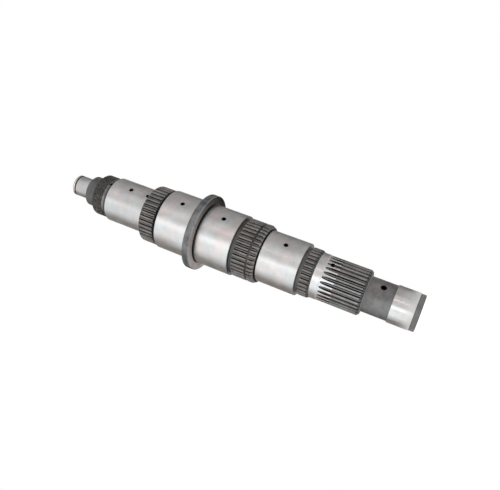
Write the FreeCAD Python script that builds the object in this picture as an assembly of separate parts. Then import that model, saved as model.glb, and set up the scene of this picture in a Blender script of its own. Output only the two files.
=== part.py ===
"""Main shaft of a truck gearbox: one piece of steel, turned, splined, drilled and ground.

The shaft's axis is Z. It stands on its plain end: z = 0 is the bottom face, and the pilot is at
the top. The oil holes lie in one line, on the -Y side. Lengths are millimetres, angles degrees.
"""
import FreeCAD, Part
import math
import os

# Lengths along the axis, in order from the bottom face up
END_LAND_LENGTH = 6.7
END_JOURNAL_LENGTH = 28.7
NECK_LENGTH = 34.6
LONG_SPLINE_LENGTH = 37.9
SEAT_LENGTH = 28.9
LOW_BAND_LENGTH = 14.5
LOW_GROOVE_WIDTH = 4.3
LOW_JOURNAL_LENGTH = 56.0
MIDDLE_BAND_LENGTH = 31.9
MIDDLE_GROOVE_WIDTH = 5.0
MIDDLE_JOURNAL_LENGTH = 52.0
FLANGE_WIDTH = 9.8
UPPER_JOURNAL_LENGTH = 51.8
UPPER_GROOVE_WIDTH = 4.4
UPPER_BAND_LENGTH = 22.5
TOP_JOURNAL_LENGTH = 63.8
THREAD_RELIEF_WIDTH = 7.8
THREAD_LENGTH = 16.0
COLLAR_LENGTH = 17.9
PILOT_LENGTH = 29.2

# Radii of the turned and ground lands
END_LAND_RADIUS = 24.4
END_JOURNAL_RADIUS = 25.0
NECK_RADIUS = 23.75
SEAT_RADIUS = 31.0
LOW_JOURNAL_RADIUS = 36.0
GEAR_JOURNAL_RADIUS = 42.5
FLANGE_RADIUS = 54.0
TOP_JOURNAL_RADIUS = 32.25
THREAD_RADIUS = 30.0
COLLAR_RADIUS = 21.9
PILOT_RADIUS = 15.1

# Splines: the long one at the lower end, the low band, and two hub bands that share one size
LONG_SPLINE_TEETH = 29
LONG_SPLINE_RADIUS = 30.6
LONG_SPLINE_DEPTH = 2.2
LONG_SPLINE_CHAMFER = 2.8
LOW_BAND_TEETH = 32
LOW_BAND_RADIUS = 32.9
LOW_BAND_DEPTH = 1.75
LOW_BAND_CHAMFER = 3.0
LOW_BAND_TURN = 1.7
HUB_BAND_TEETH = 39
HUB_BAND_RADIUS = 40.9
HUB_BAND_DEPTH = 2.0
MIDDLE_BAND_CHAMFER = 3.6
MIDDLE_BAND_TURN = 2.0
UPPER_BAND_CHAMFER = 1.8
PRESSURE_ANGLE = 30.0
SPACE_SHARE = 0.51

# The hob leaves the long spline in a curve of its own radius, inside the seat's lower part
HOB_RADIUS = 30.0
RUN_OUT_START = 6.2

# The seat's lower part is turned a little under size, so that a ring passes over the run-outs
SEAT_LEAD_LENGTH = 18.9
SEAT_LEAD_DEPTH = 0.35

# Snap ring groove in the middle band, and ring groove near the pilot's tip
SNAP_GROOVE_RISE = 9.4
SNAP_GROOVE_WIDTH = 3.0
PILOT_GROOVE_RISE = 23.1
PILOT_GROOVE_WIDTH = 2.0

# How deep the grooves and reliefs lie under the lands that they are cut in
LOW_GROOVE_DEPTH = 2.3
HUB_GROOVE_DEPTH = 2.5
THREAD_RELIEF_DEPTH = 1.5
PILOT_GROOVE_DEPTH = 1.2

# Undercut in the corner of each flange face, so that the wheel can grind both walls
UNDERCUT_LENGTH = 3.4
UNDERCUT_HEIGHT = 2.6
UNDERCUT_DEPTH = 0.6

# Chamfers
END_CHAMFER = 1.0
FLANGE_CHAMFER = 0.9
THREAD_CHAMFER = 1.5
PILOT_CHAMFER = 1.4

# Oil gallery down the middle, the radial holes that it feeds, and the lower centre hole
GALLERY_RADIUS = 7.0
GALLERY_MOUTH_RADIUS = 9.0
GALLERY_BELOW_LAST_HOLE = 8.7
JOURNAL_HOLE_RADIUS = 2.5
NECK_HOLE_RADIUS = 3.3
RELIEF_HOLE_RADIUS = 1.5
NECK_HOLE_RISE = 15.3
SEAT_HOLE_RISE = 10.3
LOW_HOLE_RISE = 27.15
BAND_EDGE_HOLE_RISE = 4.8
TOP_HOLE_RISE = 32.9
RELIEF_HOLE_RISE = 4.4
CENTRE_ANGLE = 60.0
CENTRE_RADIUS = 6.0
CENTRE_DRILL_RADIUS = 3.0
CENTRE_DRILL_DEPTH = 14.0
DRILL_POINT_ANGLE = 118.0

# How far a cutting body reaches past the metal that it cuts
OVERCUT = 1.0

# Heights of the shoulders, each from the one below it
END_JOURNAL_FOOT = END_LAND_LENGTH
NECK_FOOT = END_JOURNAL_FOOT + END_JOURNAL_LENGTH
LONG_SPLINE_FOOT = NECK_FOOT + NECK_LENGTH
SEAT_FOOT = LONG_SPLINE_FOOT + LONG_SPLINE_LENGTH
LOW_BAND_FOOT = SEAT_FOOT + SEAT_LENGTH
LOW_GROOVE_FOOT = LOW_BAND_FOOT + LOW_BAND_LENGTH
LOW_JOURNAL_FOOT = LOW_GROOVE_FOOT + LOW_GROOVE_WIDTH
MIDDLE_BAND_FOOT = LOW_JOURNAL_FOOT + LOW_JOURNAL_LENGTH
MIDDLE_GROOVE_FOOT = MIDDLE_BAND_FOOT + MIDDLE_BAND_LENGTH
MIDDLE_JOURNAL_FOOT = MIDDLE_GROOVE_FOOT + MIDDLE_GROOVE_WIDTH
FLANGE_FOOT = MIDDLE_JOURNAL_FOOT + MIDDLE_JOURNAL_LENGTH
UPPER_JOURNAL_FOOT = FLANGE_FOOT + FLANGE_WIDTH
UPPER_GROOVE_FOOT = UPPER_JOURNAL_FOOT + UPPER_JOURNAL_LENGTH
UPPER_BAND_FOOT = UPPER_GROOVE_FOOT + UPPER_GROOVE_WIDTH
TOP_JOURNAL_FOOT = UPPER_BAND_FOOT + UPPER_BAND_LENGTH
THREAD_RELIEF_FOOT = TOP_JOURNAL_FOOT + TOP_JOURNAL_LENGTH
THREAD_FOOT = THREAD_RELIEF_FOOT + THREAD_RELIEF_WIDTH
COLLAR_FOOT = THREAD_FOOT + THREAD_LENGTH
PILOT_FOOT = COLLAR_FOOT + COLLAR_LENGTH
TOP = PILOT_FOOT + PILOT_LENGTH

ORIGIN = FreeCAD.Vector(0, 0, 0)
UP = FreeCAD.Vector(0, 0, 1)
OUTWARD = FreeCAD.Vector(0, -1, 0)
OUTWARD_ANGLE = -90.0


def corner(radius, height):
    """One corner of a half section that is turned about the shaft's axis."""
    return FreeCAD.Vector(radius, 0, height)


def flat_face(corners):
    """Flat face through corners in order. Two corners in a row may lie on one another."""
    distinct = [
        point for index, point in enumerate(corners)
        if point.distanceToPoint(corners[index - 1]) > 1e-6
    ]
    return Part.Face(Part.makePolygon(distinct + distinct[:1]))


def turned(corners):
    """Solid of revolution of a closed half section about the shaft's axis."""
    return flat_face(corners).revolve(ORIGIN, UP, 360)


def lower_end():
    """End land, end journal and neck. The neck runs on inside the long spline."""
    return [
        corner(0, 0),
        corner(END_LAND_RADIUS - END_CHAMFER, 0),
        corner(END_LAND_RADIUS, END_CHAMFER),
        corner(END_LAND_RADIUS, END_JOURNAL_FOOT),
        corner(END_JOURNAL_RADIUS, END_JOURNAL_FOOT),
        corner(END_JOURNAL_RADIUS, NECK_FOOT),
        corner(NECK_RADIUS, NECK_FOOT),
        corner(NECK_RADIUS, SEAT_FOOT),
    ]


def seat_and_low_journal():
    """Seat, which runs on inside the low band, then the groove floor and the low journal."""
    lead_radius = SEAT_RADIUS - SEAT_LEAD_DEPTH
    floor_radius = LOW_BAND_RADIUS - LOW_GROOVE_DEPTH
    floor_start = LOW_GROOVE_FOOT - LOW_BAND_LENGTH / 2
    return [
        corner(lead_radius, SEAT_FOOT),
        corner(lead_radius, SEAT_FOOT + SEAT_LEAD_LENGTH),
        corner(SEAT_RADIUS, SEAT_FOOT + SEAT_LEAD_LENGTH),
        corner(SEAT_RADIUS, floor_start),
        corner(floor_radius, floor_start),
        corner(floor_radius, LOW_JOURNAL_FOOT),
        corner(LOW_JOURNAL_RADIUS, LOW_JOURNAL_FOOT),
        corner(LOW_JOURNAL_RADIUS, MIDDLE_BAND_FOOT),
    ]


def undercut(face_height, inward):
    """Undercut where a gear journal meets a flange face, from the journal's side to the face.

    inward is +1 where the flange lies above the journal, and -1 where it lies below.
    """
    return [
        corner(GEAR_JOURNAL_RADIUS, face_height - inward * UNDERCUT_LENGTH),
        corner(GEAR_JOURNAL_RADIUS - UNDERCUT_DEPTH, face_height + inward * UNDERCUT_DEPTH),
        corner(GEAR_JOURNAL_RADIUS + UNDERCUT_HEIGHT, face_height),
    ]


def flange_and_journals():
    """Floor under the middle band, middle journal, thrust flange and upper journal."""
    floor_radius = HUB_BAND_RADIUS - HUB_GROOVE_DEPTH
    middle_journal = [
        corner(floor_radius, MIDDLE_BAND_FOOT),
        corner(floor_radius, MIDDLE_JOURNAL_FOOT),
        corner(GEAR_JOURNAL_RADIUS, MIDDLE_JOURNAL_FOOT),
    ]
    flange = [
        corner(FLANGE_RADIUS - FLANGE_CHAMFER, FLANGE_FOOT),
        corner(FLANGE_RADIUS, FLANGE_FOOT + FLANGE_CHAMFER),
        corner(FLANGE_RADIUS, UPPER_JOURNAL_FOOT),
    ]
    upper_journal = [
        corner(GEAR_JOURNAL_RADIUS, UPPER_GROOVE_FOOT),
        corner(floor_radius, UPPER_GROOVE_FOOT),
        corner(floor_radius, TOP_JOURNAL_FOOT),
    ]
    lower_undercut = undercut(FLANGE_FOOT, 1)
    upper_undercut = undercut(UPPER_JOURNAL_FOOT, -1)
    upper_undercut.reverse()
    return middle_journal + lower_undercut + flange + upper_undercut + upper_journal


def upper_end():
    """Top journal, thread relief, thread, collar, and the pilot with its ring groove."""
    relief_radius = THREAD_RADIUS - THREAD_RELIEF_DEPTH
    ring_foot = PILOT_FOOT + PILOT_GROOVE_RISE
    ring_radius = PILOT_RADIUS - PILOT_GROOVE_DEPTH
    return [
        corner(TOP_JOURNAL_RADIUS, TOP_JOURNAL_FOOT),
        corner(TOP_JOURNAL_RADIUS, THREAD_RELIEF_FOOT),
        corner(relief_radius, THREAD_RELIEF_FOOT),
        corner(relief_radius, THREAD_FOOT),
        corner(THREAD_RADIUS, THREAD_FOOT),
        corner(THREAD_RADIUS, COLLAR_FOOT - THREAD_CHAMFER),
        corner(THREAD_RADIUS - THREAD_CHAMFER, COLLAR_FOOT),
        corner(COLLAR_RADIUS, COLLAR_FOOT),
        corner(COLLAR_RADIUS, PILOT_FOOT),
        corner(PILOT_RADIUS, PILOT_FOOT),
        corner(PILOT_RADIUS, ring_foot),
        corner(ring_radius, ring_foot),
        corner(ring_radius, ring_foot + PILOT_GROOVE_WIDTH),
        corner(PILOT_RADIUS, ring_foot + PILOT_GROOVE_WIDTH),
        corner(PILOT_RADIUS, TOP - PILOT_CHAMFER),
        corner(PILOT_RADIUS - PILOT_CHAMFER, TOP),
        corner(0, TOP),
    ]


def turned_core():
    """Everything that is round about the axis. The toothed bands go on over it."""
    return turned(lower_end() + seat_and_low_journal() + flange_and_journals() + upper_end())


class Spline:
    """Form of a toothed band: straight flanks between a root circle and a tip circle."""

    def __init__(self, teeth, tip_radius, depth, turn=0.0):
        half_space = math.pi / teeth * SPACE_SHARE
        middle_radius = tip_radius - depth / 2
        self.teeth = teeth
        self.tip_radius = tip_radius
        self.root_radius = tip_radius - depth
        self.turn = turn
        self.slope = math.tan(math.radians(PRESSURE_ANGLE) + half_space)
        self.offset = middle_radius * (math.sin(half_space) - math.cos(half_space) * self.slope)

    def flank_point(self, radius):
        """Where a space's flank crosses a circle: along the space's middle line, and to its side."""
        square = 1 + self.slope ** 2
        reach = math.sqrt(square * radius ** 2 - self.offset ** 2)
        along = (reach - self.slope * self.offset) / square
        return along, self.offset + self.slope * along

    def ring(self, height, tip_radius):
        """Corners of the toothed outline at a height, four to each space, round the axis."""
        tip, tip_side = self.flank_point(tip_radius)
        root, root_side = self.flank_point(self.root_radius)
        space = [(tip, -tip_side), (root, -root_side), (root, root_side), (tip, tip_side)]
        points = []
        for index in range(self.teeth):
            angle = math.radians(OUTWARD_ANGLE + self.turn + index * 360 / self.teeth)
            for along, side in space:
                x = along * math.cos(angle) - side * math.sin(angle)
                y = along * math.sin(angle) + side * math.cos(angle)
                points.append(FreeCAD.Vector(x, y, height))
        return points

    def band(self, foot, top, foot_chamfer=0.0, top_chamfer=0.0):
        """Solid toothed band. A chamfer runs from the tip circle to the root circle at its end."""
        rings = [
            self.ring(foot + foot_chamfer, self.tip_radius),
            self.ring(top - top_chamfer, self.tip_radius),
        ]
        if foot_chamfer:
            rings.insert(0, self.ring(foot, self.root_radius))
        if top_chamfer:
            rings.append(self.ring(top, self.root_radius))
        faces = [flat_face(rings[0]), flat_face(rings[-1])]
        for lower, upper in zip(rings, rings[1:]):
            for index in range(len(lower)):
                corners = [lower[index - 1], lower[index], upper[index], upper[index - 1]]
                faces.append(flat_face(corners))
        return Part.Solid(Part.Shell(faces))

    def run_outs(self, full_depth_top, foot, surface_radius):
        """Cutting bodies for spaces that rise out of a round surface along the hob's circle."""
        top, top_side = self.flank_point(surface_radius + OVERCUT)
        root, root_side = self.flank_point(self.root_radius)
        outline = [(root, -root_side), (root, root_side), (top, top_side), (top, -top_side)]
        section = flat_face([FreeCAD.Vector(x, y, foot) for x, y in outline])
        last_section = flat_face([FreeCAD.Vector(x, y, full_depth_top) for x, y in outline])
        hob_axis = FreeCAD.Vector(root + HOB_RADIUS, 0, full_depth_top)
        leave = math.degrees(math.acos(1 - (top - root) / HOB_RADIUS))
        straight = section.extrude(UP * (full_depth_top - foot))
        rising = last_section.revolve(hob_axis, FreeCAD.Vector(0, 1, 0), leave)
        cutter = straight.fuse(rising).removeSplitter()
        copies = []
        for index in range(self.teeth):
            copy = cutter.copy()
            copy.rotate(ORIGIN, UP, OUTWARD_ANGLE + self.turn + index * 360 / self.teeth)
            copies.append(copy)
        return copies


def toothed(core):
    """The turned core with its four splines."""
    long_spline = Spline(LONG_SPLINE_TEETH, LONG_SPLINE_RADIUS, LONG_SPLINE_DEPTH)
    low = Spline(LOW_BAND_TEETH, LOW_BAND_RADIUS, LOW_BAND_DEPTH, LOW_BAND_TURN)
    middle = Spline(HUB_BAND_TEETH, HUB_BAND_RADIUS, HUB_BAND_DEPTH, MIDDLE_BAND_TURN)
    upper = Spline(HUB_BAND_TEETH, HUB_BAND_RADIUS, HUB_BAND_DEPTH)
    snap_foot = MIDDLE_BAND_FOOT + SNAP_GROOVE_RISE
    bands = [
        long_spline.band(LONG_SPLINE_FOOT, SEAT_FOOT, foot_chamfer=LONG_SPLINE_CHAMFER),
        low.band(LOW_BAND_FOOT, LOW_GROOVE_FOOT, foot_chamfer=LOW_BAND_CHAMFER),
        middle.band(MIDDLE_BAND_FOOT, snap_foot, foot_chamfer=MIDDLE_BAND_CHAMFER),
        middle.band(snap_foot + SNAP_GROOVE_WIDTH, MIDDLE_GROOVE_FOOT),
        upper.band(UPPER_BAND_FOOT, TOP_JOURNAL_FOOT, top_chamfer=UPPER_BAND_CHAMFER),
    ]
    run_outs = long_spline.run_outs(SEAT_FOOT + RUN_OUT_START, SEAT_FOOT - OVERCUT, SEAT_RADIUS)
    return core.fuse(bands).cut(run_outs)


def oil_hole(height, hole_radius, land_radius):
    """Radial hole from the gallery out through a land."""
    return Part.makeCylinder(hole_radius, land_radius + OVERCUT, UP * height, OUTWARD)


def oil_holes():
    """The line of radial oil holes, from the neck up to the thread relief."""
    low_hole_height = LOW_JOURNAL_FOOT + LOW_HOLE_RISE
    gear_middle = MIDDLE_JOURNAL_FOOT + (MIDDLE_JOURNAL_LENGTH - UNDERCUT_LENGTH) / 2
    upper_middle = UPPER_JOURNAL_FOOT + UPPER_JOURNAL_LENGTH / 2
    relief_radius = THREAD_RADIUS - THREAD_RELIEF_DEPTH
    return [
        oil_hole(NECK_FOOT + NECK_HOLE_RISE, NECK_HOLE_RADIUS, NECK_RADIUS),
        oil_hole(SEAT_FOOT + SEAT_HOLE_RISE, JOURNAL_HOLE_RADIUS, SEAT_RADIUS),
        oil_hole(low_hole_height, JOURNAL_HOLE_RADIUS, LOW_JOURNAL_RADIUS),
        oil_hole(gear_middle, JOURNAL_HOLE_RADIUS, GEAR_JOURNAL_RADIUS),
        oil_hole(upper_middle, JOURNAL_HOLE_RADIUS, GEAR_JOURNAL_RADIUS),
        oil_hole(TOP_JOURNAL_FOOT + BAND_EDGE_HOLE_RISE, JOURNAL_HOLE_RADIUS, TOP_JOURNAL_RADIUS),
        oil_hole(TOP_JOURNAL_FOOT + TOP_HOLE_RISE, JOURNAL_HOLE_RADIUS, TOP_JOURNAL_RADIUS),
        oil_hole(THREAD_RELIEF_FOOT + RELIEF_HOLE_RISE, RELIEF_HOLE_RADIUS, relief_radius),
    ]


def drill_point(drill_radius):
    """Length of the cone that a drill leaves at the bottom of its hole."""
    return drill_radius / math.tan(math.radians(DRILL_POINT_ANGLE / 2))


def gallery():
    """Oil gallery, drilled from the pilot's end down past the lowest radial hole."""
    foot = NECK_FOOT + NECK_HOLE_RISE - GALLERY_BELOW_LAST_HOLE
    mouth_depth = GALLERY_MOUTH_RADIUS - GALLERY_RADIUS
    return turned([
        corner(0, foot - drill_point(GALLERY_RADIUS)),
        corner(GALLERY_RADIUS, foot),
        corner(GALLERY_RADIUS, TOP - mouth_depth),
        corner(GALLERY_MOUTH_RADIUS + OVERCUT, TOP + OVERCUT),
        corner(0, TOP + OVERCUT),
    ])


def centre_hole():
    """Centre hole in the bottom face, which the lathe and the grinder held the shaft by."""
    slope = math.tan(math.radians(CENTRE_ANGLE / 2))
    cone_depth = (CENTRE_RADIUS - CENTRE_DRILL_RADIUS) / slope
    return turned([
        corner(0, -OVERCUT),
        corner(CENTRE_RADIUS + OVERCUT * slope, -OVERCUT),
        corner(CENTRE_DRILL_RADIUS, cone_depth),
        corner(CENTRE_DRILL_RADIUS, CENTRE_DRILL_DEPTH),
        corner(0, CENTRE_DRILL_DEPTH + drill_point(CENTRE_DRILL_RADIUS)),
    ])


def main_shaft():
    """The finished shaft, as one solid."""
    shaft = toothed(turned_core())
    shaft = shaft.cut(oil_holes() + [gallery(), centre_hole()])
    return shaft.removeSplitter()


os.makedirs("parts", exist_ok=True)
shaft = main_shaft()
solids = shaft.Solids
print("solids", len(solids), "valid", shaft.isValid(), "volume", round(shaft.Volume))
solids[0].exportStep("parts/main_shaft.step")
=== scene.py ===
"""Looks of the main shaft: its fine shape, its steel finishes, and a plain pale studio.

The shaft's sizes are in millimetres, as in the CAD source, and the meshes are made in metres. All
that belongs to the studio is in metres.
"""
import math

import bpy
import numpy as np
from mathutils import Matrix, Vector


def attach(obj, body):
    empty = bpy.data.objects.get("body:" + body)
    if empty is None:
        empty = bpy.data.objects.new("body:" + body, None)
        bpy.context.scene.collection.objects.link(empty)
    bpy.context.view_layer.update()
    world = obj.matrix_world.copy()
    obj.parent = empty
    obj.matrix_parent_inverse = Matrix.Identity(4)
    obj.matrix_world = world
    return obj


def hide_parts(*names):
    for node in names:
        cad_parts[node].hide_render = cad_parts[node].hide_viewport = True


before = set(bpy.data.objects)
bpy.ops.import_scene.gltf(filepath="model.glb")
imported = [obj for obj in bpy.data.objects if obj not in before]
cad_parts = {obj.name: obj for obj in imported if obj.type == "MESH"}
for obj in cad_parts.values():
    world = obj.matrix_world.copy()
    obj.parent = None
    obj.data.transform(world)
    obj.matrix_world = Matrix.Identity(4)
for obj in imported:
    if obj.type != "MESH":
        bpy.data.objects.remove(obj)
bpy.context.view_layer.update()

METRE = 0.001

# Heights of the shoulders, from the bottom face up
END_JOURNAL = 6.7
NECK = 35.4
LONG_SPLINE = 70.0
SEAT = 107.9
SEAT_LEAD_TOP = 126.8
LOW_BAND = 136.8
LOW_GROOVE = 151.3
LOW_JOURNAL = 155.6
LOW_RELIEF = 209.9
MIDDLE_BAND = 211.6
SNAP_GROOVE = 221.0
SNAP_GROOVE_TOP = 224.0
MIDDLE_GROOVE = 243.5
MIDDLE_JOURNAL = 248.5
FLANGE = 300.5
UPPER_JOURNAL = 310.3
UPPER_GROOVE = 362.1
UPPER_BAND = 366.5
TOP_JOURNAL = 389.0
THREAD_RELIEF = 452.8
UNDERCUT_TOP = 457.6
THREAD = 460.6
COLLAR = 476.6
PILOT = 494.5
RING_GROOVE = 517.6
RING_GROOVE_TOP = 519.6
TOP = 523.7

# Radii
R_END_LAND = 24.4
R_END_JOURNAL = 25.0
R_NECK = 23.75
R_SEAT = 31.0
R_SEAT_LEAD = 30.65
R_LOW_FLOOR = 30.6
R_LOW_JOURNAL = 36.0
R_GEAR_JOURNAL = 42.5
R_HUB_FLOOR = 38.4
R_FLANGE = 54.0
R_TOP_JOURNAL = 32.25
R_RELIEF = 28.5
R_UNDERCUT = 28.2
R_THREAD = 30.0
R_COLLAR = 21.9
R_PILOT = 15.1
R_RING_FLOOR = 13.9
R_GALLERY = 7.0
R_GALLERY_MOUTH = 9.0
R_CENTRE_HOLE = 3.0
R_CENTRE_MOUTH = 6.0

# Heights in the centre hole of the foot and in the oil gallery
CENTRE_CONE_TOP = 5.2
CENTRE_HOLE_TOP = 14.0
CENTRE_HOLE_TIP = 15.8
GALLERY_TIP = 37.8
GALLERY_FOOT = 42.0
GALLERY_MOUTH_DEPTH = 2.0

# Splines
PRESSURE_ANGLE = math.radians(30)
SPACE_SHARE = 0.51      # how much of a pitch a space takes, half way up its flanks
ROOT_FILLET = 0.5
HOB_RADIUS = 30.0       # of the hob that leaves the run-outs of the long spline
FULL_DEPTH_TOP = 114.1  # height where these start
LONG_CHAMFER = 2.8
LOW_CHAMFER = 3.0
MIDDLE_CHAMFER = 3.6
UPPER_CHAMFER = 1.8
EDGE = 0.14             # bevel along the tips and at the ends of the bands

# How the teeth are laid out
FLANK_SPARE = 2.5       # how far a flank's line goes on past the tip
FLANK_SAMPLES = 160
FLANK_POINTS = 6
FILLET_STEPS = 6
CHAMFER_STEPS = 6
CHAMFER_START = 0.03    # how far a chamfer starts above the root and its bevel
RUN_OUT_RINGS = 16
RUN_OUT_CROWDING = 1.5  # above 1 the rings of a run-out are closer together near its end
RUN_OUT_SPARE = 0.002   # how far the last ring stays inside the run-out

# Thread
THREAD_PITCH = 2.0
THREAD_DEPTH = 1.15
THREAD_FLAT = 0.125     # share of half a pitch that a crest or a root is flat for
THREAD_CREST = 0.4      # share of the depth that has the finish of the crests
THREAD_LEAD = 0.1       # what stands above the relief where the thread starts
THREAD_LEAD_SLOPE = 1.2
THREAD_POINTS = 216
THREAD_STEP = 0.25

# Oil holes: height, radius and the land's radius
OIL_HOLES = [
    (50.7, 3.3, R_NECK), (118.2, 2.5, R_SEAT_LEAD), (182.75, 2.5, R_LOW_JOURNAL),
    (272.8, 2.5, R_GEAR_JOURNAL), (336.2, 2.5, R_GEAR_JOURNAL), (393.8, 2.5, R_TOP_JOURNAL),
    (421.9, 2.5, R_TOP_JOURNAL), (457.2, 1.5, R_RELIEF),
]
HOLE_MOUTH = 0.65       # how wide the flare at a mouth is
HOLE_START = 2.0        # how far from the axis the holes start
HOLE_PAST = 1.0         # how far the cutter goes on past the land
HOLE_POINTS = 40

ROUND_POINTS = 240
BORE_POINTS = 64
ARC_SHARE = 0.45        # the most that a rounded corner takes of the runs beside it
NEARLY_STRAIGHT = math.radians(88)
SHARP_ANGLE = math.radians(28)

# Tints of the steel. PLAIN is a pair of them
WARM = (1.045, 0.98, 0.96)
COOL = (0.965, 1.005, 1.02)
BROWN = (1.08, 0.98, 0.93)
BLUE = (0.94, 1.0, 1.07)
PLAIN = ((1.01, 1.0, 0.985), (0.985, 1.0, 1.0))

# The steel of each kind of surface, in the order of the material slots. steel() says what is what
STEELS = {
    "ground": dict(
        name="ground_steel", levels=(0.45, 0.52), rough=(0.31, 0.39),
        marks=0.24, pitch=2600, bump=0.004),
    "tip": dict(
        name="low_tooth_tip_steel", levels=(0.14, 0.225), rough=(0.42, 0.56),
        marks=0.4, pitch=1800, bump=0.02, metallic=0.35, tints=(BROWN, WARM)),
    # painted shade: the flanks below their tops, and the walls beside the bands, are painted near
    # black for the shade in the spaces
    "flank": dict(
        name="tooth_flank_painted_shade", levels=(0.014, 0.03), rough=(0.22, 0.30),
        marks=0.4, pitch=900, bump=0.02, tints=(BROWN, COOL), index=1.1),
    "root": dict(
        name="tooth_root_steel", levels=(0.13, 0.20), rough=(0.38, 0.52),
        marks=0.4, pitch=900, bump=0.02, metallic=0.6, tints=(BROWN, BLUE)),
    # painted shade: near black on the walls, steps and corners of the grooves, where shade falls
    "groove": dict(
        name="groove_wall_painted_shade", levels=(0.008, 0.02), rough=(0.45, 0.65),
        marks=0.5, pitch=2200, bump=0.03, metallic=0.6, index=1.15),
    "neck": dict(
        name="turned_steel", levels=(0.12, 0.21), rough=(0.44, 0.58),
        marks=0.22, pitch=1900, bump=0.03, metallic=0.7),
    "rim": dict(
        name="flange_rim_steel", levels=(0.07, 0.22), rough=(0.36, 0.50),
        marks=0.6, pitch=2600, bump=0.01, metallic=0.6, tints=(COOL, BLUE)),
    # painted shade: one side of the flange face is painted darker
    "face": dict(
        name="flange_face_steel", levels=(0.44, 0.60), rough=(0.36, 0.48),
        marks=0.3, pitch=1200, bump=0.01, metallic=0.05, tints=(BROWN, WARM), index=1.03, shaded_side=True),
    # painted shade: the roots of the thread, and the collar shoulder beside it, are painted near black
    "thread": dict(
        name="thread_root_painted_shade", levels=(0.015, 0.035), rough=(0.45, 0.6),
        marks=0.3, pitch=1500, bump=0.03, metallic=0.6, painted_glints=0.5),
    "collar": dict(
        name="collar_steel", levels=(0.085, 0.145), rough=(0.43, 0.60),
        marks=0.5, pitch=2400, bump=0.04, metallic=0.6),
    "relief": dict(
        name="relief_steel", levels=(0.10, 0.17), rough=(0.22, 0.30),
        marks=0.4, pitch=2200, bump=0.01, metallic=0.9),
    # painted shade: the insides of the oil holes, the centre hole and the gallery are painted near
    # black
    "bore": dict(
        name="bore_painted_shade", levels=(0.006, 0.015), rough=(0.5, 0.7),
        marks=0.3, pitch=900, bump=0.03, metallic=0.5, index=1.1),
    "edge": dict(
        name="worn_edge_steel", levels=(0.26, 0.40), rough=(0.3, 0.4),
        marks=0.3, pitch=1800, bump=0.01, tints=(BROWN, COOL)),
    "floor": dict(
        name="groove_floor_steel", levels=(0.065, 0.11), rough=(0.42, 0.56),
        marks=0.45, pitch=2200, bump=0.03, metallic=0.7, tints=(BROWN, COOL)),
    "land": dict(
        name="spline_tip_steel", levels=(0.20, 0.31), rough=(0.34, 0.44),
        marks=0.4, pitch=1800, bump=0.02, metallic=0.45),
    "skirt": dict(
        name="tooth_chamfer_steel", levels=(0.06, 0.11), rough=(0.42, 0.56),
        marks=0.4, pitch=900, bump=0.03, metallic=0.8, tints=(BROWN, COOL)),
    "bright": dict(
        name="bright_ground_steel", levels=(0.46, 0.53), rough=(0.20, 0.26),
        marks=0.2, pitch=2600, bump=0.003, tints=PLAIN),
    "end": dict(
        name="turned_end_steel", levels=(0.13, 0.185), rough=(0.36, 0.46),
        marks=0.4, pitch=2200, bump=0.004, metallic=0.75, tints=PLAIN),
    "seat": dict(
        name="ground_seat_steel", levels=(0.49, 0.57), rough=(0.28, 0.36),
        marks=0.2, pitch=2600, bump=0.004),
    "hub": dict(
        name="hub_tooth_tip_steel", levels=(0.14, 0.235), rough=(0.42, 0.56),
        marks=0.4, pitch=1800, bump=0.02, metallic=0.35, tints=(BROWN, WARM)),
    "hub_root": dict(
        name="hub_tooth_root_steel", levels=(0.11, 0.18), rough=(0.42, 0.56),
        marks=0.4, pitch=900, bump=0.02, metallic=0.4, tints=(BROWN, WARM)),
    "snap": dict(
        name="snap_groove_steel", levels=(0.045, 0.085), rough=(0.42, 0.56),
        marks=0.4, pitch=1800, bump=0.03, metallic=0.6, tints=(BROWN, COOL)),
    # the thread's crests and roots carry painted glints as bright dots
    "crest": dict(
        name="thread_crest_steel", levels=(0.045, 0.08), rough=(0.38, 0.52),
        marks=0.3, pitch=1500, bump=0.03, metallic=0.7, painted_glints=0.8),
    # painted shade: the concave undercut corners beside the journals and the flange are painted dark
    "undercut": dict(
        name="undercut_painted_shade", levels=(0.045, 0.075), rough=(0.36, 0.48),
        marks=0.4, pitch=2200, bump=0.015, metallic=0.7),
    "bevel": dict(
        name="bevel_steel", levels=(0.16, 0.26), rough=(0.32, 0.44),
        marks=0.3, pitch=2200, bump=0.01, metallic=0.9),
    "brow": dict(
        name="tooth_brow_steel", levels=(0.085, 0.135), rough=(0.22, 0.30),
        marks=0.4, pitch=900, bump=0.02, tints=(BROWN, COOL), index=1.1),
}
FINISH = {name: slot for slot, name in enumerate(STEELS)}

# Finishes across a tooth: its land, the top of its flanks, the rest of them, painted near black as
# shade, and the root
TOOTH = ("tip", "brow", "flank", "hub_root")
HUB = ("hub", "brow", "flank", "hub_root")
LONG_TOOTH = ("land", "brow", "flank", "root")
LONG_EDGE = ("edge", "flank", "flank", "root")
IN_SEAT = ("seat", "flank", "flank", "root")
SKIRT = ("skirt", "flank", "flank", "root")


def rounded(corners, steps=2):
    """A line through corners (x, y, radius, tag), with an arc of the given radius at each."""
    line = [(corners[0][0], corners[0][1], corners[0][3])]
    for before, here, after in zip(corners, corners[1:], corners[2:]):
        p, a, b = (np.array(c[:2], float) for c in (here, before, after))
        to_a, to_b = a - p, b - p
        len_a, len_b = np.linalg.norm(to_a), np.linalg.norm(to_b)
        to_a, to_b = to_a / len_a, to_b / len_b
        half = math.acos(max(-1.0, min(1.0, float(to_a @ to_b)))) / 2
        if here[2] <= 0 or half > NEARLY_STRAIGHT:
            line.append((here[0], here[1], here[3]))
            continue
        reach = min(here[2] / math.tan(half), ARC_SHARE * len_a, ARC_SHARE * len_b)
        start, end = p + to_a * reach, p + to_b * reach
        for step in range(steps + 1):
            t = step / steps
            point = (1 - t) ** 2 * start + 2 * t * (1 - t) * p + t ** 2 * end
            line.append((point[0], point[1], here[3]))
    line.append((corners[-1][0], corners[-1][1], corners[-1][3]))
    return line


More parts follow.
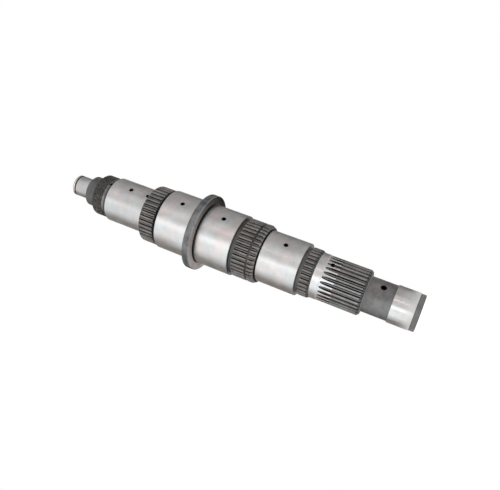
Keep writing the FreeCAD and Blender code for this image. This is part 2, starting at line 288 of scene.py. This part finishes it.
class Skin:
    """The shaft's closed skin: rings of points round the axis, each joined to the one before it."""

    def __init__(self):
        self.points = []
        self.faces = []
        self.finishes = []
        self.last = None

    def ring(self, angles, radii, heights, finish):
        """Adds a ring and joins it to the last one.

        finish is the material slot of the faces between them, or a list with one for each column.
        """
        first = len(self.points)
        self.points += list(zip(radii * np.cos(angles), radii * np.sin(angles), heights))
        here = (np.arange(first, first + len(angles)), angles)
        if self.last is not None:
            self.join(self.last, here, finish)
        self.last = here

    def join(self, low, high, finish):
        """Faces between two rings: quads where they have as many points, and else triangles."""
        low_ids, low_angles = low
        high_ids, high_angles = high
        if len(low_ids) == len(high_ids):
            columns = [finish] * len(low_ids) if isinstance(finish, int) else finish
            for i in range(len(low_ids)):
                j = (i + 1) % len(low_ids)
                self.faces.append((low_ids[i], low_ids[j], high_ids[j], high_ids[i]))
                self.finishes.append(columns[i])
            return
        turns = []
        for ids, angles in (low, high):
            order = np.argsort(angles % math.tau)
            turns.append((ids[order], (angles % math.tau)[order]))
        (low_ids, low_angles), (high_ids, high_angles) = turns
        i = j = 0
        while i < len(low_ids) or j < len(high_ids):
            next_low = low_angles[i + 1] if i + 1 < len(low_ids) else low_angles[0] + math.tau
            next_high = high_angles[j + 1] if j + 1 < len(high_ids) else high_angles[0] + math.tau
            step_low = i < len(low_ids) and (j >= len(high_ids) or next_low <= next_high)
            a, b = low_ids[i % len(low_ids)], high_ids[j % len(high_ids)]
            if step_low:
                self.faces.append((a, low_ids[(i + 1) % len(low_ids)], b))
                i += 1
            else:
                self.faces.append((a, high_ids[(j + 1) % len(high_ids)], b))
                j += 1
            self.finishes.append(finish if isinstance(finish, int) else finish[0])

    def close(self, ids, height, finish, up):
        """Closes the skin from a ring's points to a point on the axis, which faces up or down."""
        apex = len(self.points)
        self.points.append((0.0, 0.0, height))
        for i in range(len(ids)):
            j = (i + 1) % len(ids)
            self.faces.append((ids[i], ids[j], apex) if up else (ids[j], ids[i], apex))
            self.finishes.append(FINISH[finish])

    def turned(self, corners, points=ROUND_POINTS):
        """Turned surface through corners (radius, height, rounding, finish of the run up to it)."""
        angles = np.arange(points) * math.tau / points
        for radius, height, finish in rounded([(*c[:3], FINISH[c[3]]) for c in corners]):
            self.ring(angles, np.full(points, radius), np.full(points, height), finish)


class Teeth:
    """A toothed section: straight flanks, a filleted root, and narrow bevels along the tips."""

    def __init__(self, count, tip, depth, turn=0.0, finish=TOOTH):
        half_space = math.pi / count * SPACE_SHARE
        middle = tip - depth / 2
        slope = math.tan(PRESSURE_ANGLE + half_space)
        offset = middle * (math.sin(half_space) - math.cos(half_space) * slope)
        self.count = count
        self.finish = finish
        self.tip = tip
        self.root = tip - depth
        self.turn = math.radians(turn - 90)
        high = depth + FLANK_SPARE
        corners = [
            (0, 0, 0, 0),
            (offset + slope * self.root, 0, ROOT_FILLET, 0),
            (offset + slope * (self.root + high), high, 0, 0),
        ]
        line = np.array(rounded(corners, FILLET_STEPS))[:, :2]
        fine = np.linspace(0, 1, FLANK_SAMPLES)
        length = np.concatenate([[0], np.cumsum(np.hypot(*np.diff(line, axis=0).T))])
        self.side = np.interp(fine * length[-1], length, line[:, 0])
        self.rise = np.interp(fine * length[-1], length, line[:, 1])
        self.length = fine * length[-1]

    def ring(self, skin, height, surface, finish, past=0.0):
        """Outline at a height, in a round surface. past is how far it is above the full depth."""
        along = self.root + HOB_RADIUS - np.sqrt((HOB_RADIUS - self.rise) ** 2 - past ** 2)
        reach = np.hypot(along, self.side)
        leave = np.interp(surface - EDGE, reach, self.length)
        inside = np.linspace(0, leave, FLANK_POINTS)
        side = np.interp(inside, self.length, self.side)
        radius = np.interp(inside, self.length, reach)
        angle = np.arcsin(side / radius)
        edge = angle[-1] + EDGE / surface
        half_pitch = math.pi / self.count
        half_angle = np.concatenate([angle, [edge, (edge + half_pitch) / 2, half_pitch]])
        half_radius = np.concatenate([radius, [surface] * 3])
        angles = np.concatenate([-half_angle[-2:0:-1], half_angle])
        radii = np.concatenate([half_radius[-2:0:-1], half_radius])
        land, brow, flank, root = (FINISH[name] for name in finish)
        columns = [slot for slot in (land, brow, flank, root, flank, brow, land, land) for _ in (0, 1)]
        starts = self.turn + np.arange(self.count) * math.tau / self.count
        skin.ring(
            (starts[:, None] + angles[None, :]).ravel(), np.tile(radii, self.count),
            np.full(len(angles) * self.count, float(height)), columns * self.count,
        )

    def chamfer(self, foot, top):
        """Rings of a chamfer between the root circle and the tip circle, in either direction."""
        start = self.root + EDGE + CHAMFER_START
        for step in range(CHAMFER_STEPS + 1):
            t = step / CHAMFER_STEPS
            yield (foot + (top - foot) * t, start + (self.tip - start) * t)

    def band(self, skin, foot, top, foot_chamfer=0.0, top_chamfer=0.0, chamfer_finish=None):
        """A whole band, with its chamfers or with narrow bevels at its ends."""
        finish = self.finish
        chamfer_finish = chamfer_finish or finish
        rings = []
        if foot_chamfer:
            rings += [(*ring, chamfer_finish) for ring in self.chamfer(foot, foot + foot_chamfer)]
        else:
            rings += [(foot, self.tip - EDGE, finish), (foot + EDGE, self.tip, finish)]
        if top_chamfer:
            down = list(self.chamfer(top, top - top_chamfer))[::-1]
            rings += [(*down[0], finish)] + [(*ring, chamfer_finish) for ring in down[1:]]
        else:
            rings += [(top - EDGE, self.tip, finish), (top, self.tip - EDGE, finish)]
        for height, surface, ring_finish in rings:
            self.ring(skin, height, surface, ring_finish)


LONG = Teeth(29, 30.6, 2.2)
LOW = Teeth(32, 32.9, 1.75, 1.7)
MIDDLE = Teeth(39, 40.9, 2.0, 2.0, HUB)
UPPER = Teeth(39, 40.9, 2.0, finish=HUB)


def lower_end(skin):
    """Centre hole, end land, end journal and neck, up to the long spline."""
    skin.turned([
        (R_CENTRE_HOLE, CENTRE_HOLE_TOP, 0, "bore"),
        (R_CENTRE_HOLE, CENTRE_CONE_TOP, 0.3, "bore"),
        (R_CENTRE_MOUTH, 0.0, 0.0, "bore"),
    ], BORE_POINTS)
    skin.turned([
        (R_CENTRE_MOUTH + 0.3, 0.0, 0, "neck"),
        (R_END_LAND - 1.0, 0.0, 0.15, "neck"),
        (R_END_LAND, 1.0, 0.3, "end"),
        (R_END_LAND, END_JOURNAL - 0.3, 0.1, "end"),
        (R_END_LAND + 0.1, END_JOURNAL, 0.1, "groove"),
        (R_END_JOURNAL - 0.1, END_JOURNAL, 0.1, "groove"),
        (R_END_JOURNAL, END_JOURNAL + 0.3, 0.1, "edge"),
        (R_END_JOURNAL, NECK - 0.7, 0.25, "bright"),
        (R_END_JOURNAL - 0.55, NECK, 0.2, "edge"),
        (R_NECK, NECK + 0.1, 0.4, "neck"),
        (R_NECK, LONG_SPLINE - 0.9, 0.3, "neck"),
        (R_NECK + 0.25, LONG_SPLINE - 0.05, 0.2, "bevel"),
        (LONG.root - 0.5, LONG_SPLINE, 0, "groove"),
    ])


def long_spline(skin):
    """The long spline, and its spaces that run out inside the ground seat."""
    for height, surface in LONG.chamfer(LONG_SPLINE, LONG_SPLINE + LONG_CHAMFER):
        LONG.ring(skin, height, surface, SKIRT)
    LONG.ring(skin, SEAT - 0.2, LONG.tip, LONG_TOOTH)
    LONG.ring(skin, SEAT, R_SEAT_LEAD, LONG_EDGE)
    LONG.ring(skin, FULL_DEPTH_TOP, R_SEAT_LEAD, IN_SEAT)
    rise = R_SEAT_LEAD - EDGE - LONG.root
    run_out = math.sqrt(HOB_RADIUS ** 2 - (HOB_RADIUS - rise) ** 2)
    for share in np.linspace(0, 1, RUN_OUT_RINGS + 1)[1:]:
        past = run_out * (1 - (1 - share) ** RUN_OUT_CROWDING) - RUN_OUT_SPARE
        LONG.ring(skin, FULL_DEPTH_TOP + past, R_SEAT_LEAD, IN_SEAT, past)


def middle(skin):
    """From the seat up to the middle groove."""
    skin.turned([
        (R_SEAT_LEAD, SEAT_LEAD_TOP - 0.3, 0, "seat"),
        (R_SEAT, SEAT_LEAD_TOP, 0, "seat"),
        (R_SEAT, LOW_BAND - 0.25, 0, "seat"),
        (R_SEAT - 0.05, LOW_BAND, 0, "groove"),
    ])
    LOW.band(skin, LOW_BAND, LOW_GROOVE, foot_chamfer=LOW_CHAMFER, chamfer_finish=SKIRT)
    skin.turned([
        (R_LOW_FLOOR + 0.05, LOW_GROOVE, 0, "flank"),
        (R_LOW_FLOOR, LOW_GROOVE + 0.15, 0.5, "collar"),
        (R_LOW_FLOOR, LOW_JOURNAL, 0.7, "collar"),
        (R_LOW_JOURNAL - 0.45, LOW_JOURNAL, 0.15, "collar"),
        (R_LOW_JOURNAL, LOW_JOURNAL + 0.6, 0.3, "bevel"),
        (R_LOW_JOURNAL, LOW_RELIEF, 0.4, "ground"),
        (R_LOW_JOURNAL - 0.5, MIDDLE_BAND - 0.3, 0.2, "groove"),
        (R_LOW_JOURNAL - 0.3, MIDDLE_BAND, 0.1, "groove"),
        (MIDDLE.root - 0.4, MIDDLE_BAND, 0, "groove"),
    ])
    MIDDLE.band(skin, MIDDLE_BAND, SNAP_GROOVE, foot_chamfer=MIDDLE_CHAMFER)
    skin.turned([
        (R_HUB_FLOOR + 0.05, SNAP_GROOVE, 0, "flank"),
        (R_HUB_FLOOR, SNAP_GROOVE + 0.15, 0, "flank"),
        (R_HUB_FLOOR, SNAP_GROOVE_TOP - 0.15, 0, "snap"),
        (R_HUB_FLOOR + 0.05, SNAP_GROOVE_TOP, 0, "snap"),
    ])
    MIDDLE.band(skin, SNAP_GROOVE_TOP, MIDDLE_GROOVE)


def gear_journals(skin):
    """Middle journal, thrust flange and upper journal, with the grooves beside them."""
    skin.turned([
        (R_HUB_FLOOR + 0.05, MIDDLE_GROOVE, 0, "flank"),
        (R_HUB_FLOOR, MIDDLE_GROOVE + 0.15, 0.3, "floor"),
        (R_HUB_FLOOR, MIDDLE_JOURNAL, 0.9, "floor"),
        (R_GEAR_JOURNAL - 0.55, MIDDLE_JOURNAL, 0.2, "undercut"),
        (R_GEAR_JOURNAL, MIDDLE_JOURNAL + 0.7, 0.4, "bevel"),
        (R_GEAR_JOURNAL, FLANGE - 3.2, 0.3, "ground"),
        (R_GEAR_JOURNAL - 0.5, FLANGE - 1.4, 0.3, "bevel"),
        (R_GEAR_JOURNAL - 0.6, FLANGE + 0.5, 0.9, "groove"),
        (R_GEAR_JOURNAL + 0.8, FLANGE, 0.4, "floor"),
        (R_FLANGE - 0.9, FLANGE, 0.3, "face"),
        (R_FLANGE, FLANGE + 0.9, 0.4, "bevel"),
        (R_FLANGE, UPPER_JOURNAL - 0.5, 0.3, "rim"),
        (R_FLANGE - 0.5, UPPER_JOURNAL, 0.2, "bevel"),
        (R_GEAR_JOURNAL + 2.6, UPPER_JOURNAL, 0.5, "face"),
        (R_GEAR_JOURNAL - 0.6, UPPER_JOURNAL - 0.5, 0.9, "groove"),
        (R_GEAR_JOURNAL, UPPER_JOURNAL + 3.4, 0.5, "groove"),
        (R_GEAR_JOURNAL, UPPER_GROOVE - 0.7, 0.3, "ground"),
        (R_GEAR_JOURNAL - 0.55, UPPER_GROOVE, 0.2, "bevel"),
        (R_HUB_FLOOR, UPPER_GROOVE, 0.9, "groove"),
        (R_HUB_FLOOR, UPPER_BAND - 0.15, 0.3, "groove"),
        (R_HUB_FLOOR + 0.05, UPPER_BAND, 0, "groove"),
    ])
    UPPER.band(skin, UPPER_BAND, TOP_JOURNAL, top_chamfer=UPPER_CHAMFER)


def upper_end(skin):
    """Top journal, thread relief, thread, collar, pilot and the gallery inside it all."""
    skin.turned([
        (UPPER.root - 0.4, TOP_JOURNAL, 0, "groove"),
        (R_TOP_JOURNAL, TOP_JOURNAL, 0.6, "groove"),
        (R_TOP_JOURNAL, THREAD_RELIEF - 0.8, 0.4, "ground"),
        (R_TOP_JOURNAL - 0.8, THREAD_RELIEF, 0.2, "edge"),
        (R_UNDERCUT, THREAD_RELIEF, 1.4, "undercut"),
        (R_UNDERCUT, UNDERCUT_TOP, 0.1, "undercut"),
        (R_RELIEF, UNDERCUT_TOP + 0.4, 0.2, "relief"),
        (R_RELIEF, THREAD - 0.1, 0, "relief"),
    ])
    thread(skin)
    skin.turned([
        (R_RELIEF - 0.05, COLLAR, 0, "thread"),
        (R_COLLAR, COLLAR, 0.8, "thread"),
        (R_COLLAR, PILOT - 1.2, 0.5, "collar"),
        (R_COLLAR - 1.2, PILOT, 0.5, "collar"),
        (R_PILOT, PILOT, 0.7, "collar"),
        (R_PILOT, RING_GROOVE, 0.1, "ground"),
        (R_RING_FLOOR, RING_GROOVE, 0.15, "groove"),
        (R_RING_FLOOR, RING_GROOVE_TOP, 0.15, "groove"),
        (R_PILOT, RING_GROOVE_TOP, 0.1, "groove"),
        (R_PILOT, TOP - 1.4, 0.4, "ground"),
        (R_PILOT - 1.4, TOP, 0.3, "edge"),
        (R_GALLERY_MOUTH + 0.2, TOP, 0, "neck"),
    ])
    skin.turned([
        (R_GALLERY_MOUTH, TOP, 0, "bore"),
        (R_GALLERY, TOP - GALLERY_MOUTH_DEPTH, 0.4, "bore"),
        (R_GALLERY, GALLERY_FOOT, 0, "bore"),
    ], BORE_POINTS)


def thread(skin):
    """Helical thread, cut down by the chamfer at its upper end and fading in above the relief."""
    angles = np.arange(THREAD_POINTS) * math.tau / THREAD_POINTS
    for height in np.arange(THREAD, COLLAR + 0.01, THREAD_STEP):
        phase = (height / THREAD_PITCH - angles / math.tau) % 1
        flank = np.abs(phase - 0.5) * 2 * (1 + 2 * THREAD_FLAT) - THREAD_FLAT
        wave = np.clip(flank, 0, 1)
        chamfer = R_RELIEF + (COLLAR - height)
        lead = R_RELIEF + THREAD_LEAD + (height - THREAD) * THREAD_LEAD_SLOPE
        radius = np.minimum(R_THREAD - THREAD_DEPTH * wave, min(R_THREAD, chamfer, lead))
        # the deeper part of each turn takes the root finish, painted near black as shade
        finish = np.where(wave < THREAD_CREST, FINISH["crest"], FINISH["thread"]).tolist()
        skin.ring(angles, radius, np.full(THREAD_POINTS, height), finish)


def skin_mesh():
    """The whole skin, from the centre hole round the outside and down into the gallery."""
    skin = Skin()
    lower_end(skin)
    long_spline(skin)
    middle(skin)
    gear_journals(skin)
    upper_end(skin)
    skin.close(skin.last[0], GALLERY_TIP, "bore", up=True)
    skin.close(range(BORE_POINTS), CENTRE_HOLE_TIP, "bore", up=False)
    mesh = bpy.data.meshes.new("main_shaft_skin")
    mesh.from_pydata([tuple(c * METRE for c in p) for p in skin.points], [], skin.faces)
    mesh.polygons.foreach_set("material_index", skin.finishes)
    mesh.validate()
    return mesh


def hole_cutter():
    """All the radial oil holes as one cutting mesh, with a small flare at each mouth."""
    count = HOLE_POINTS
    points, faces = [], []
    for height, radius, land in OIL_HOLES:
        rows = [
            (HOLE_START, radius),
            (land - HOLE_MOUTH, radius),
            (land + HOLE_PAST, radius + HOLE_MOUTH + HOLE_PAST),
        ]
        first = len(points)
        for reach, wide in rows:
            for i in range(count):
                a = i * math.tau / count
                x, z = wide * math.cos(a), height + wide * math.sin(a)
                points.append((x * METRE, -reach * METRE, z * METRE))
        for row in range(len(rows) - 1):
            for i in range(count):
                j = (i + 1) % count
                low, high = first + row * count, first + (row + 1) * count
                faces.append((low + i, low + j, high + j, high + i))
        faces.append(tuple(first + i for i in range(count))[::-1])
        last = first + (len(rows) - 1) * count
        faces.append(tuple(last + i for i in range(count)))
    mesh = bpy.data.meshes.new("hole_cutter")
    mesh.from_pydata(points, [], faces)
    mesh.polygons.foreach_set("material_index", [FINISH["bore"]] * len(faces))
    return mesh


class Graph:
    """Short names for making and linking a material's nodes."""

    def __init__(self, name):
        self.material = bpy.data.materials.new(name)
        self.material.use_nodes = True
        self.tree = self.material.node_tree
        self.shader = self.tree.nodes["Principled BSDF"]
        self.place = self.tree.nodes.new("ShaderNodeTexCoord").outputs["Object"]

    def add(self, kind, **values):
        node = self.tree.nodes.new("ShaderNode" + kind)
        for key, value in values.items():
            setattr(node, key, value)
        return node

    def link(self, source, target):
        self.tree.links.new(source, target)

    def noise(self, scale, stretch, detail, rough):
        mapping = self.add("Mapping")
        mapping.inputs["Scale"].default_value = stretch
        self.link(self.place, mapping.inputs["Vector"])
        noise = self.add("TexNoise")
        noise.inputs["Scale"].default_value = scale
        noise.inputs["Detail"].default_value = detail
        noise.inputs["Roughness"].default_value = rough
        self.link(mapping.outputs["Vector"], noise.inputs["Vector"])
        return noise.outputs["Fac"]

    def span(self, value, low, high, to_low=0.0, to_high=1.0):
        """Maps the values between low and high to those between to_low and to_high."""
        node = self.add("MapRange")
        node.inputs["From Min"].default_value = low
        node.inputs["From Max"].default_value = high
        node.inputs["To Min"].default_value = to_low
        node.inputs["To Max"].default_value = to_high
        self.link(value, node.inputs["Value"])
        return node.outputs["Result"]

    def mix(self, share, one, other):
        """Mixes two colours, each a tuple or a socket."""
        node = self.add("Mix", data_type="RGBA")
        sockets = [s for s in node.inputs if s.type == "RGBA"]
        for socket, value in zip(sockets, (one, other)):
            if isinstance(value, tuple):
                socket.default_value = (*value, 1)
            else:
                self.link(value, socket)
        self.link(share, node.inputs["Factor"])
        return [s for s in node.outputs if s.type == "RGBA"][0]

    def bump(self, height, distance):
        node = self.add("Bump")
        node.inputs["Distance"].default_value = distance
        self.link(height, node.inputs["Height"])
        self.link(node.outputs["Normal"], self.shader.inputs["Normal"])


# Noises on the steel: scale, stretch, detail and roughness. Lines and bands are stretched round
# the shaft, and the pitch of the marks says how fine they are along it
CLOUDS = (75.0, (1, 1, 1), 5.0, 0.6)
PATCHES = (34.0, (1, 1, 1.4), 2.0, 0.5)
GRAIN = (1500.0, (1, 1, 1), 3.0, 0.6)
DOTS = (620.0, (1, 1, 1), 1.0, 0.5)
LINES_ROUND = (30, 30)
BANDS_ROUND = (9, 9)
BAND_COARSENESS = 12    # how many times coarser the bands are than the lines

# Which part of a noise's values each use of it takes
CLOUD_SPAN = (0.36, 0.64)
GLOSS_SPAN = (0.3, 0.7)
LINE_SPAN = (0.45, 0.8)
BAND_SPAN = (0.5, 0.8)
GLINT_SPAN = (0.46, 0.62)

# How dark or light the marks on the steel are, as shares of its levels
LINE_LEVEL = 0.6
BAND_LEVEL = 0.75
GLINT_LEVEL = 2.6
SHADE_SIDE_LEVEL = 0.03
BAND_SHARE = 0.6        # how strong the bands are beside the lines

# Direction across the flange face in which its painted shade grows dark, and between which places
SHADE_SIDE_DIRECTION = (0.893, -0.449, 0.0)
SHADE_SIDE_REACH = (-0.055, 0.052)


def tinted(level, tint):
    return tuple(level * part for part in tint)


def steel(name, levels, rough, marks, pitch, bump, metallic=1.0, tints=(WARM, COOL), painted_glints=0.0,
          index=1.5, shaded_side=False):
    """Steel with marks that run round the shaft, clouds of tint, and uneven gloss.

    levels are the two levels that its clouds go between, rough the two roughnesses, and tints the
    two tints. marks is how far the marks darken it, pitch sets how fine they are, and bump is
    their height in mm. specks is how strong the bright dots on it are, painted glints of light on
    fine ribs. index is its refractive index; near 1 it hardly reflects, which keeps painted shade
    dark. film paints shade on one side of it, darker across it in one direction.
    """
    low, high = levels
    warm, cool = tints
    g = Graph(name)
    lines = g.noise(1.0, (*LINES_ROUND, pitch), detail=5.0, rough=0.7)
    bands = g.noise(1.0, (*BANDS_ROUND, pitch / BAND_COARSENESS), detail=3.0, rough=0.6)
    clouds = g.noise(*CLOUDS)
    patches = g.noise(*PATCHES)
    grain = g.noise(*GRAIN)
    cloudy = g.span(clouds, *CLOUD_SPAN)
    warm_side = g.mix(cloudy, tinted(low, warm), tinted(high, warm))
    cool_side = g.mix(cloudy, tinted(low, cool), tinted(high, cool))
    colour = g.mix(g.span(patches, *CLOUD_SPAN), warm_side, cool_side)
    line_share = g.span(lines, *LINE_SPAN, 0.0, marks)
    colour = g.mix(line_share, colour, tinted(low * LINE_LEVEL, warm))
    band_share = g.span(bands, *BAND_SPAN, 0.0, marks * BAND_SHARE)
    colour = g.mix(band_share, colour, tinted(low * BAND_LEVEL, cool))
    # painted glints: bright dots where the fine ribs of the thread catch the light
    if painted_glints:
        glint_share = g.span(g.noise(*DOTS), *GLINT_SPAN, 0.0, painted_glints)
        colour = g.mix(glint_share, colour, tinted(high * GLINT_LEVEL, warm))
    # painted shade: darkens one side of the flange face, across it in one direction
    if shaded_side:
        side = g.add("VectorMath", operation="DOT_PRODUCT")
        g.link(g.place, side.inputs[0])
        side.inputs[1].default_value = SHADE_SIDE_DIRECTION
        shade_share = g.span(side.outputs["Value"], *SHADE_SIDE_REACH)
        colour = g.mix(shade_share, colour, tinted(low * SHADE_SIDE_LEVEL, BROWN))
    g.link(colour, g.shader.inputs["Base Color"])
    g.shader.inputs["Metallic"].default_value = metallic
    g.shader.inputs["IOR"].default_value = index
    g.link(g.span(clouds, *GLOSS_SPAN, *rough), g.shader.inputs["Roughness"])
    height = g.add("Math", operation="ADD")
    g.link(lines, height.inputs[0])
    g.link(grain, height.inputs[1])
    g.bump(height.outputs[0], bump * METRE)
    return g.material


def make_shaft():
    """The dressed shaft, which stands for the CAD solid."""
    shaft = bpy.data.objects.new("main_shaft_visual", skin_mesh())
    bpy.context.scene.collection.objects.link(shaft)
    cutter = bpy.data.objects.new("hole_cutter", hole_cutter())
    bpy.context.scene.collection.objects.link(cutter)
    for values in STEELS.values():
        material = steel(**values)
        shaft.data.materials.append(material)
        cutter.data.materials.append(material)
    cut = shaft.modifiers.new("oil holes", "BOOLEAN")
    cut.operation = "DIFFERENCE"
    cut.solver = "EXACT"
    cut.object = cutter
    bpy.context.view_layer.update()
    evaluated = shaft.evaluated_get(bpy.context.evaluated_depsgraph_get())
    finished = bpy.data.meshes.new_from_object(evaluated)
    shaft.modifiers.clear()
    shaft.data = finished
    bpy.data.objects.remove(cutter)
    finished.polygons.foreach_set("use_smooth", [True] * len(finished.polygons))
    finished.set_sharp_from_angle(angle=SHARP_ANGLE)
    return shaft


# Camera
CAMERA_PLACE = (-0.435750, -0.585346, 0.007711)
CAMERA_RIGHT = (0.44974487, 0.01170707, -0.89308034)
CAMERA_UP = (0.68297255, -0.64887164, 0.3354312)
CAMERA_BACK = (-0.57556759, -0.76080782, -0.2998223)
CAMERA_CLIP = 0.01
FOCAL_PIXELS = 563.697
PICTURE_WIDTH = 500
SENSOR = 36.0

# Studio. A turn is in degrees round the shaft, from the side that faces the camera
OIL_HOLE_TURN = 36.7    # the turn of the oil holes, which are on the -Y side
WORLD_FILL = 0.72       # how much the world lights, where 1 is how bright it looks
FLOOR_WIDTH = 40.0
FLOOR_STEPS = 12
FLOOR_DROP = 0.0002
FLOOR_GREY = (0.86, 0.86, 0.86, 1)
FLOOR_GLOW = 0.6
STAGE_ROUGHNESS = 0.9

# Panels: name, turn, width, and the greys of the edge on the camera's side and of the other edge
PANELS = [
    ("panel_high", 106, 1.9, (0.82, 0.805, 0.795), (0.13, 0.14, 0.13)),
    ("panel_low", -128, 0.9, (0.455, 0.425, 0.395), (0.455, 0.425, 0.395)),
]
PANEL_REACH = 0.75
PANEL_HEIGHT = 1.7
PANEL_LIFT = 0.01
PANEL_STEPS = 4
PANEL_NEAR_SHARE = 0.1  # how far past its middle, in widths, a panel starts to change its grey

# Lamps: name, turn, width, power and colour
LAMPS = [
    ("key", -20, 0.34, 2.4, (1.0, 1.0, 1.0)),
    ("fill", -54, 0.8, 2.5, (1.0, 1.0, 1.0)),
    ("strip", 25, 0.03, 0.62, (1.0, 0.72, 0.68)),
]
LAMP_REACH = 1.0
LAMP_MIDDLE = 0.55      # height of a lamp's middle
LAMP_LENGTH = 1.5
LAMP_TARGET = (0, 0, 0.45)


def make_camera():
    """The photo's camera, as fitted to the shaft's shoulders, edges and oil holes."""
    data = bpy.data.cameras.new("camera")
    data.sensor_width = SENSOR
    data.lens = FOCAL_PIXELS / PICTURE_WIDTH * SENSOR
    data.clip_start = CAMERA_CLIP
    camera = bpy.data.objects.new("camera", data)
    rows = zip(CAMERA_RIGHT, CAMERA_UP, CAMERA_BACK, CAMERA_PLACE)
    camera.matrix_world = Matrix([list(row) for row in rows] + [[0, 0, 0, 1]])
    bpy.context.scene.collection.objects.link(camera)
    bpy.context.scene.camera = camera


def around(turn, reach, height):
    """A place round the shaft."""
    a = math.radians(turn - OIL_HOLE_TURN)
    return Vector((math.sin(a) * reach, -math.cos(a) * reach, height))


def make_lamp(name, turn, width, power, colour):
    """A softbox beside the shaft, which the camera doesn't see."""
    data = bpy.data.lights.new(name, "AREA")
    data.shape = "RECTANGLE"
    data.size = width
    data.size_y = LAMP_LENGTH
    data.energy = power
    data.color = colour
    lamp = bpy.data.objects.new(name, data)
    lamp.location = around(turn, LAMP_REACH, LAMP_MIDDLE)
    aim = Vector(LAMP_TARGET) - lamp.location
    lamp.rotation_euler = aim.to_track_quat("-Z", "Y").to_euler()
    lamp.visible_camera = False
    bpy.context.scene.collection.objects.link(lamp)


def stage_grid(name, width, depth, steps, material):
    """Flat grid, which a floor or a panel is made of."""
    xs = np.linspace(-width / 2, width / 2, steps + 1)
    ys = np.linspace(-depth / 2, depth / 2, steps + 1)
    points = [(x, y, 0) for y in ys for x in xs]
    faces = []
    for j in range(steps):
        for i in range(steps):
            a = j * (steps + 1) + i
            faces.append((a, a + 1, a + steps + 2, a + steps + 1))
    mesh = bpy.data.meshes.new(name)
    mesh.from_pydata(points, [], faces)
    mesh.materials.append(material)
    obj = bpy.data.objects.new(name, mesh)
    bpy.context.scene.collection.objects.link(obj)
    return obj


def seen_rays(tree):
    """A socket that is one for the camera's rays, and those off gloss or through glass, else zero."""
    path = tree.nodes.new("ShaderNodeLightPath")
    seen = path.outputs["Is Camera Ray"]
    for kind in ("Is Glossy Ray", "Is Transmission Ray"):
        either = tree.nodes.new("ShaderNodeMath")
        either.operation = "MAXIMUM"
        tree.links.new(seen, either.inputs[0])
        tree.links.new(path.outputs[kind], either.inputs[1])
        seen = either.outputs[0]
    return seen


def floor_material():
    """Pale floor that glows where it is seen, straight or in a reflection."""
    g = Graph("studio_floor")
    g.shader.inputs["Base Color"].default_value = FLOOR_GREY
    g.shader.inputs["Roughness"].default_value = STAGE_ROUGHNESS
    share = g.add("Math", operation="MULTIPLY")
    g.link(seen_rays(g.tree), share.inputs[0])
    share.inputs[1].default_value = FLOOR_GLOW
    glow = g.add("Emission")
    g.link(share.outputs[0], glow.inputs["Strength"])
    both = g.add("AddShader")
    g.link(g.shader.outputs["BSDF"], both.inputs[0])
    g.link(glow.outputs["Emission"], both.inputs[1])
    g.link(both.outputs["Shader"], g.tree.nodes["Material Output"].inputs["Surface"])
    return g.material


def panel_material(width, near, far):
    """Card that goes from one grey, on the camera's side, to another."""
    g = Graph("studio_panel")
    across = g.add("SeparateXYZ")
    g.link(g.place, across.inputs[0])
    share = g.span(across.outputs["X"], width * PANEL_NEAR_SHARE, -width / 2)
    g.link(g.mix(share, near, far), g.shader.inputs["Base Color"])
    g.shader.inputs["Roughness"].default_value = STAGE_ROUGHNESS
    return g.material


def make_panel(name, turn, width, near, far):
    """Grey panel beside the shaft that its steel reflects."""
    panel = stage_grid(name, width, PANEL_HEIGHT, PANEL_STEPS, panel_material(width, near, far))
    place = around(turn, PANEL_REACH, PANEL_HEIGHT / 2 + PANEL_LIFT)
    panel.location = place
    panel.rotation_euler = (Vector((0, 0, place.z)) - place).to_track_quat("Z", "Y").to_euler()
    panel.visible_camera = False


def make_world():
    """White world that looks brighter than it lights."""
    world = bpy.data.worlds.new("studio")
    bpy.context.scene.world = world
    world.use_nodes = True
    tree = world.node_tree
    sky = tree.nodes["Background"]
    sky.inputs["Color"].default_value = (1, 1, 1, 1)
    level = tree.nodes.new("ShaderNodeMapRange")
    level.inputs["To Min"].default_value = WORLD_FILL
    tree.links.new(seen_rays(tree), level.inputs["Value"])
    tree.links.new(level.outputs["Result"], sky.inputs["Strength"])


def make_studio():
    """World, floor, panels, lamps and camera."""
    bpy.context.scene.view_settings.view_transform = "Standard"
    make_world()
    floor = stage_grid("floor", FLOOR_WIDTH, FLOOR_WIDTH, FLOOR_STEPS, floor_material())
    floor.location.z = -FLOOR_DROP
    for panel in PANELS:
        make_panel(*panel)
    for lamp in LAMPS:
        make_lamp(*lamp)
    make_camera()


shaft = make_shaft()
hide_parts("main_shaft")
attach(shaft, "root")
make_studio()
